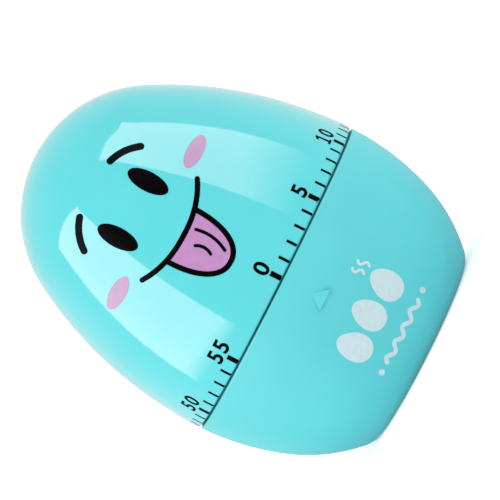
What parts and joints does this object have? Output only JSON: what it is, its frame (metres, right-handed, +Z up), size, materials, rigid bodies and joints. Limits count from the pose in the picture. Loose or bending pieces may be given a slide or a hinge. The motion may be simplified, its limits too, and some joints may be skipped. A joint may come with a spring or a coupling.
{
  "type": "kitchen timer",
  "caption": "Egg-shaped wind-up kitchen timer: the upper half turns as the dial over a clockwork movement with gear train, escapement, hammer and bell.",
  "frame": {"origin": "centre of the foot ring, on the surface the timer stands on", "axes": "+Z up along the egg axis; -Y is the front, where the index mark is"},
  "size_m": [0.06, 0.06, 0.0772],
  "materials": {
    "dial_plastic": "glossy turquoise moulding",
    "body_plastic": "satin turquoise moulding",
    "cover_plastic": "satin turquoise moulding",
    "carrier_plastic": "white moulding",
    "wheel_plastic": "natural nylon",
    "plate_steel": "zinc plated sheet",
    "turned_steel": "bright turned steel",
    "spring_steel": "blued spring steel",
    "bell_steel": "nickel plated",
    "brass": "stamped brass",
    "screw_steel": "zinc plated"
  },
  "bodies": {
    "case": {"lower_shell": "body_plastic", "bottom_cover": "cover_plastic", "bottom_cover_screws": "screw_steel", "base_plate": "plate_steel", "top_plate": "plate_steel", "plate_pillars": "turned_steel", "pillar_nuts": "brass", "movement_screws": "screw_steel", "main_bush": "brass", "spring_post": "turned_steel", "stop_post": "turned_steel", "lever_post": "turned_steel", "bell": "bell_steel", "bell_post": "turned_steel", "bell_screw": "screw_steel", "mainspring": "spring_steel"},
    "dial": {"upper_shell": "dial_plastic", "dial_carrier": "carrier_plastic", "carrier_screws": "screw_steel", "main_arbor": "turned_steel", "great_wheel": "brass", "clutch_spring": "spring_steel", "circlip": "spring_steel", "stop_cam": "wheel_plastic"},
    "second_wheel_set": {"second_arbor": "turned_steel", "second_wheel": "brass", "strike_wheel": "brass"},
    "third_wheel_set": {"third_arbor": "turned_steel", "third_wheel": "wheel_plastic"},
    "escape_wheel_set": {"escape_arbor": "turned_steel", "escape_wheel": "wheel_plastic"},
    "balance": {"pallet_arbor": "turned_steel", "pallet_anchor": "wheel_plastic", "balance_bar": "brass"},
    "hammer": {"hammer_arbor": "turned_steel", "hammer_arm": "turned_steel", "hammer_tail": "turned_steel"},
    "lever": {"release_lever": "plate_steel"}
  },
  "joints": [
    {"name": "dial_turn", "type": "hinge", "parent": "case", "child": "dial", "pos_m": [0, 0, 0.029], "axis": [0, 0, -1], "range_deg": [0, 330.01], "deforming": ["mainspring"]},
    {"name": "second_spin", "type": "hinge", "parent": "case", "child": "second_wheel_set", "pos_m": [0.0136, 0, 0.0176], "axis": [0, 0, 1], "range_deg": [0, 2475.09]},
    {"name": "third_spin", "type": "hinge", "parent": "case", "child": "third_wheel_set", "pos_m": [0.01018, 0.00961, 0.0162], "axis": [0, 0, 1], "range_deg": [-18563.2, 0]},
    {"name": "escape_spin", "type": "hinge", "parent": "case", "child": "escape_wheel_set", "pos_m": [0.00148, 0.01493, 0.0177], "axis": [0, 0, 1], "range_deg": [0, 139224]},
    {"name": "balance_swing", "type": "hinge", "parent": "case", "child": "balance", "pos_m": [-0.00575, 0.01653, 0.0189], "axis": [0, 0, 1], "range_deg": [-6, 6]},
    {"name": "hammer_swing", "type": "hinge", "parent": "case", "child": "hammer", "pos_m": [0.0104, -0.01011, 0.0104], "axis": [0, 0, 1], "range_deg": [-12, 2.5]},
    {"name": "release_swing", "type": "hinge", "parent": "case", "child": "lever", "pos_m": [-0.0175, 0, 0.0289], "axis": [0, 0, 1], "range_deg": [0, 8]}
  ],
  "couplings": [
    {"joint": "second_spin", "follows": "dial_turn", "ratio": 7.5},
    {"joint": "third_spin", "follows": "dial_turn", "ratio": -56.25},
    {"joint": "escape_spin", "follows": "dial_turn", "ratio": 421.88}
  ]
}
